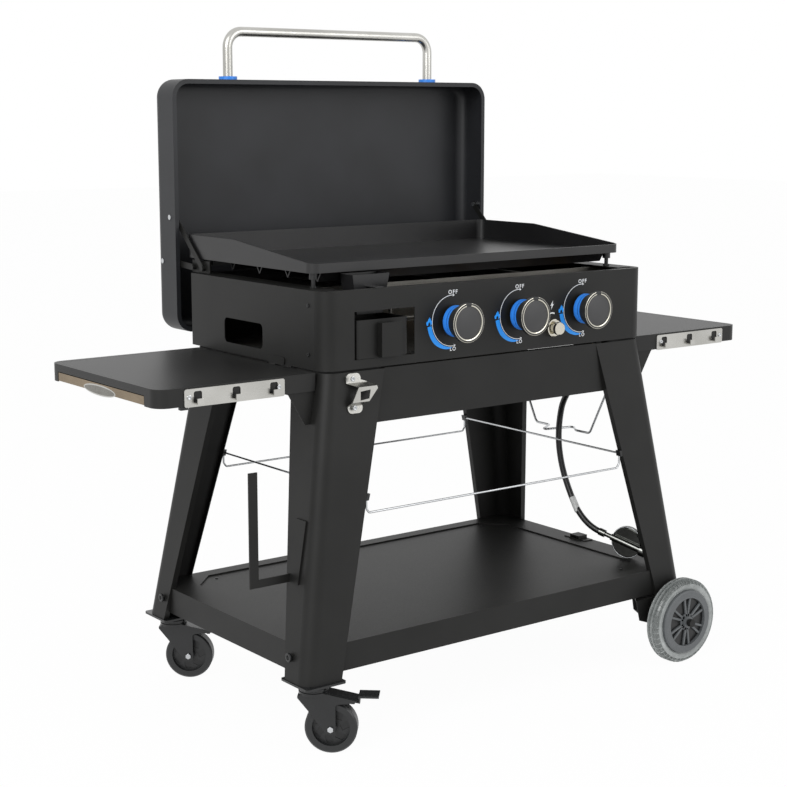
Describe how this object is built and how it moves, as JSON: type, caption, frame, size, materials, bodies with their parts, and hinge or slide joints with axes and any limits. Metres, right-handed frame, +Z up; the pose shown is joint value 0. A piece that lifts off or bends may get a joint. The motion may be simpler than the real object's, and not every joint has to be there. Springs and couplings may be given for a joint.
{
  "type": "outdoor gas griddle station",
  "caption": "Flat-top gas griddle with an open linked lid on a splayed black cart with side shelves, a bottom tray, casters and large wheels",
  "frame": {"origin": "on the floor, under the middle of the whole outline", "axes": "X to the right as seen from the front, Y from the front to the back, Z up"},
  "size_m": [1.4253, 0.6982, 1.2977],
  "materials": {
    "black_powder_coat": "fine textured black powder coat",
    "steel_plate": "dark rolled steel, satin",
    "stainless_steel": "brushed stainless steel",
    "zinc_plated_steel": "bright zinc plate",
    "blue_plastic": "azure moulded plastic",
    "black_plastic": "black moulded plastic",
    "chrome_trim": "bright plated trim",
    "grey_hub_plastic": "grey moulded plastic",
    "clear_tyre": "clear greyish vinyl",
    "brass_fitting": "machined brass",
    "electrode_ceramic": "glazed white ceramic",
    "black_rubber": "smooth black rubber",
    "regulator_casting": "cast body, satin"
  },
  "bodies": {
    "cart": {"leg_front_left": "black_powder_coat", "leg_rear_left": "black_powder_coat", "leg_front_right": "black_powder_coat", "leg_rear_right": "black_powder_coat", "front_apron": "black_powder_coat", "cart_rails": "black_powder_coat", "bottom_tray": "black_powder_coat", "tank_clip": "black_powder_coat", "left_shelf": "black_powder_coat", "right_shelf": "black_powder_coat", "hook_strips": "stainless_steel", "shelf_brackets": "black_powder_coat", "towel_holder": "black_powder_coat", "bottle_opener": "stainless_steel", "brace_wires": "zinc_plated_steel", "wire_clips": "black_plastic", "tank_hanger": "zinc_plated_steel", "caster_plates": "black_powder_coat", "axle_brackets": "black_powder_coat", "cart_bolts": "zinc_plated_steel"},
    "head": {"control_panel": "black_powder_coat", "left_side_panel": "black_powder_coat", "right_side_panel": "black_powder_coat", "rear_panel": "black_powder_coat", "heat_shield": "stainless_steel", "burner_tubes": "stainless_steel", "gas_manifold": "brass_fitting", "gas_valves": "brass_fitting", "igniter_electrodes": "electrode_ceramic", "latch_brackets": "black_powder_coat", "link_brackets": "black_powder_coat", "igniter_base": "chrome_trim", "grease_chute": "steel_plate"},
    "gas_line": {"gas_hose": "black_rubber", "regulator": "regulator_casting"},
    "griddle": {"griddle_plate": "steel_plate", "plate_ribs": "steel_plate", "plate_feet": "zinc_plated_steel"},
    "lid": {"lid_shell": "black_powder_coat", "lid_handle": "stainless_steel", "handle_collars": "blue_plastic", "lid_rivets": "zinc_plated_steel"},
    "stays": {"lid_stays": "black_powder_coat"},
    "links": {"lid_links": "black_powder_coat"},
    "knob_left": {"knob_left": "black_plastic"},
    "knob_middle": {"knob_middle": "black_plastic"},
    "knob_right": {"knob_right": "black_plastic"},
    "igniter_button": {"igniter_button": "chrome_trim"},
    "grease_box": {"grease_box": "black_powder_coat"},
    "pull_out_tray": {"pull_out_tray": "stainless_steel"},
    "caster_fork_front": {"caster_fork_front": "black_powder_coat"},
    "caster_fork_rear": {"caster_fork_rear": "black_powder_coat"},
    "caster_wheel_front": {"caster_wheel_front": "black_plastic"},
    "caster_wheel_rear": {"caster_wheel_rear": "black_plastic"},
    "brake_pedal_front": {"brake_pedal_front": "black_plastic"},
    "brake_pedal_rear": {"brake_pedal_rear": "black_plastic"},
    "wheel_front": {"wheel_hub_front": "grey_hub_plastic", "wheel_tyre_front": "clear_tyre"},
    "wheel_rear": {"wheel_hub_rear": "grey_hub_plastic", "wheel_tyre_rear": "clear_tyre"}
  },
  "joints": [
    {"name": "head_lift", "type": "slide", "parent": "cart", "child": "head", "axis": [0, 0, 1], "range_m": [0, 0.12]},
    {"name": "gas_line_swing", "type": "hinge", "parent": "head", "child": "gas_line", "pos_m": [0.35125, -0.149, 0.7], "axis": [0, 1, 0], "range_deg": [0, 4.6]},
    {"name": "griddle_lift", "type": "slide", "parent": "head", "child": "griddle", "axis": [0, 0, 1], "range_m": [0, 0.09]},
    {"name": "stay_hinge", "type": "hinge", "parent": "head", "child": "stays", "pos_m": [0.00625, 0.19066, 0.829], "axis": [1, 0, 0], "range_deg": [0, 131.63]},
    {"name": "lid_hinge", "type": "hinge", "parent": "stays", "child": "lid", "pos_m": [0.00625, 0.2916, 0.9236], "axis": [1, 0, 0], "range_deg": [-41.68, 0]},
    {"name": "link_hinge", "type": "hinge", "parent": "head", "child": "links", "pos_m": [0.00625, 0.22707, 0.829], "axis": [1, 0, 0], "range_deg": [0, 149]},
    {"name": "knob_left_turn", "type": "hinge", "parent": "head", "child": "knob_left", "pos_m": [-0.09975, -0.2365, 0.7487], "axis": [0, -1, 0], "range_deg": [0, 180]},
    {"name": "knob_middle_turn", "type": "hinge", "parent": "head", "child": "knob_middle", "pos_m": [0.06425, -0.2365, 0.7487], "axis": [0, -1, 0], "range_deg": [0, 180]},
    {"name": "knob_right_turn", "type": "hinge", "parent": "head", "child": "knob_right", "pos_m": [0.22825, -0.2365, 0.7487], "axis": [0, -1, 0], "range_deg": [0, 180]},
    {"name": "igniter_press", "type": "slide", "parent": "head", "child": "igniter_button", "axis": [0, 1, 0], "range_m": [0, 0.004], "stiffness_N_per_m": 300},
    {"name": "grease_box_slide", "type": "slide", "parent": "head", "child": "grease_box", "axis": [0, -1, 0], "range_m": [0, 0.11]},
    {"name": "tray_slide", "type": "slide", "parent": "cart", "child": "pull_out_tray", "axis": [-1, 0, 0], "range_m": [0, 0.18]},
    {"name": "caster_front_swivel", "type": "hinge", "parent": "cart", "child": "caster_fork_front", "pos_m": [-0.43215, -0.259, 0.115], "axis": [0, 0, 1], "continuous": true},
    {"name": "caster_front_spin", "type": "hinge", "parent": "caster_fork_front", "child": "caster_wheel_front", "pos_m": [-0.408, -0.27999, 0.0475], "axis": [0.6561, 0.7547, 0], "continuous": true},
    {"name": "brake_front_press", "type": "hinge", "parent": "caster_fork_front", "child": "brake_pedal_front", "pos_m": [-0.40121, -0.2859, 0.1005], "axis": [0.6561, 0.7547, 0], "range_deg": [0, 10]},
    {"name": "caster_rear_swivel", "type": "hinge", "parent": "cart", "child": "caster_fork_rear", "pos_m": [-0.43215, 0.241, 0.115], "axis": [0, 0, 1], "continuous": true},
    {"name": "caster_rear_spin", "type": "hinge", "parent": "caster_fork_rear", "child": "caster_wheel_rear", "pos_m": [-0.40764, 0.22043, 0.0475], "axis": [0.6428, 0.766, 0], "continuous": true},
    {"name": "brake_rear_press", "type": "hinge", "parent": "caster_fork_rear", "child": "brake_pedal_rear", "pos_m": [-0.40074, 0.21465, 0.1005], "axis": [0.6428, 0.766, 0], "range_deg": [0, 10]},
    {"name": "wheel_front_spin", "type": "hinge", "parent": "cart", "child": "wheel_front", "pos_m": [0.45325, -0.315, 0.088], "axis": [0, 1, 0], "continuous": true},
    {"name": "wheel_rear_spin", "type": "hinge", "parent": "cart", "child": "wheel_rear", "pos_m": [0.45325, 0.297, 0.088], "axis": [0, 1, 0], "continuous": true}
  ],
  "couplings": [
    {"joint": "lid_hinge", "follows": "stay_hinge", "ratio": -0.31627},
    {"joint": "link_hinge", "follows": "stay_hinge", "ratio": 1.1312},
    {"joint": "gas_line_swing", "follows": "head_lift", "rad_per_m": 0.65}
  ]
}
